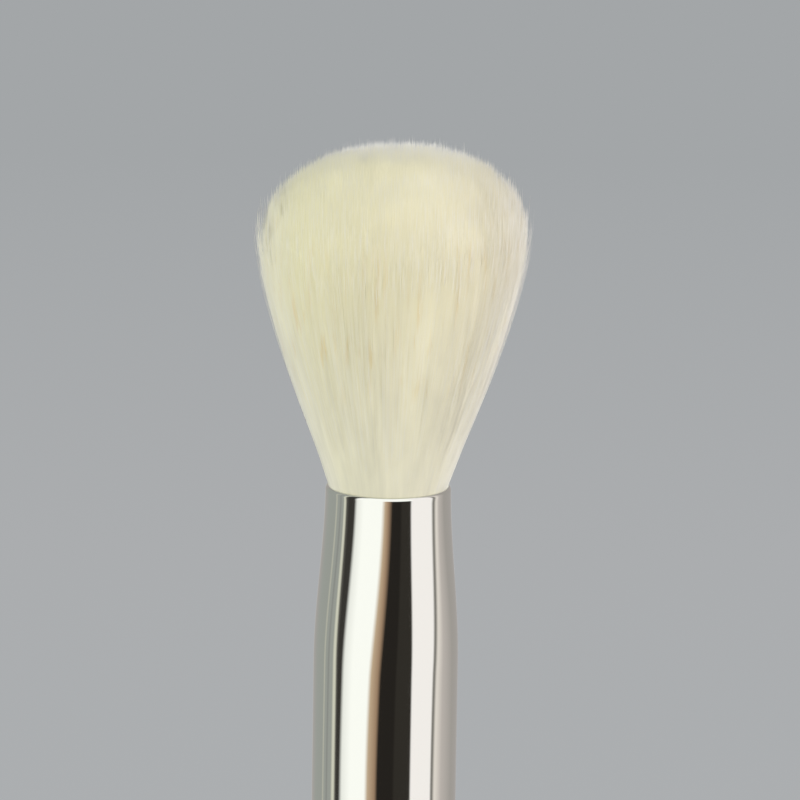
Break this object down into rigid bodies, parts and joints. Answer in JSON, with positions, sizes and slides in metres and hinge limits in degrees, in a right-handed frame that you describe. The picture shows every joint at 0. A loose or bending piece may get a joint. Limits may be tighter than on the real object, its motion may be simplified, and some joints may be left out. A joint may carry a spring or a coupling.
{
  "type": "angled blush brush",
  "caption": "Make-up brush with a slanted, domed tuft of pale goat hair in a plated ferrule, crimped onto a slender turned wooden handle.",
  "frame": {"origin": "centre of the flat on the butt, the lowest end of the handle", "axes": "+Z along the brush from the butt to the hair, +Y away from the low side of the slanted hair, +X to the right when the low side is faced"},
  "size_m": [0.0268, 0.023, 0.1754],
  "materials": {
    "lacquered_wood": "high-gloss black lacquer over turned wood",
    "nickel_plate": "polished nickel plate on drawn brass",
    "goat_hair": "fine cream goat hair with a soft sheen",
    "clear_resin": "amber epoxy resin",
    "cotton_thread": "wound white cotton thread",
    "tenon_glue": "set glue"
  },
  "bodies": {
    "root": {"handle": "lacquered_wood", "ferrule": "nickel_plate", "hair_tuft": "goat_hair", "resin_plug": "clear_resin", "binding_thread": "cotton_thread", "tenon_glue": "tenon_glue"}
  },
  "joints": []
}
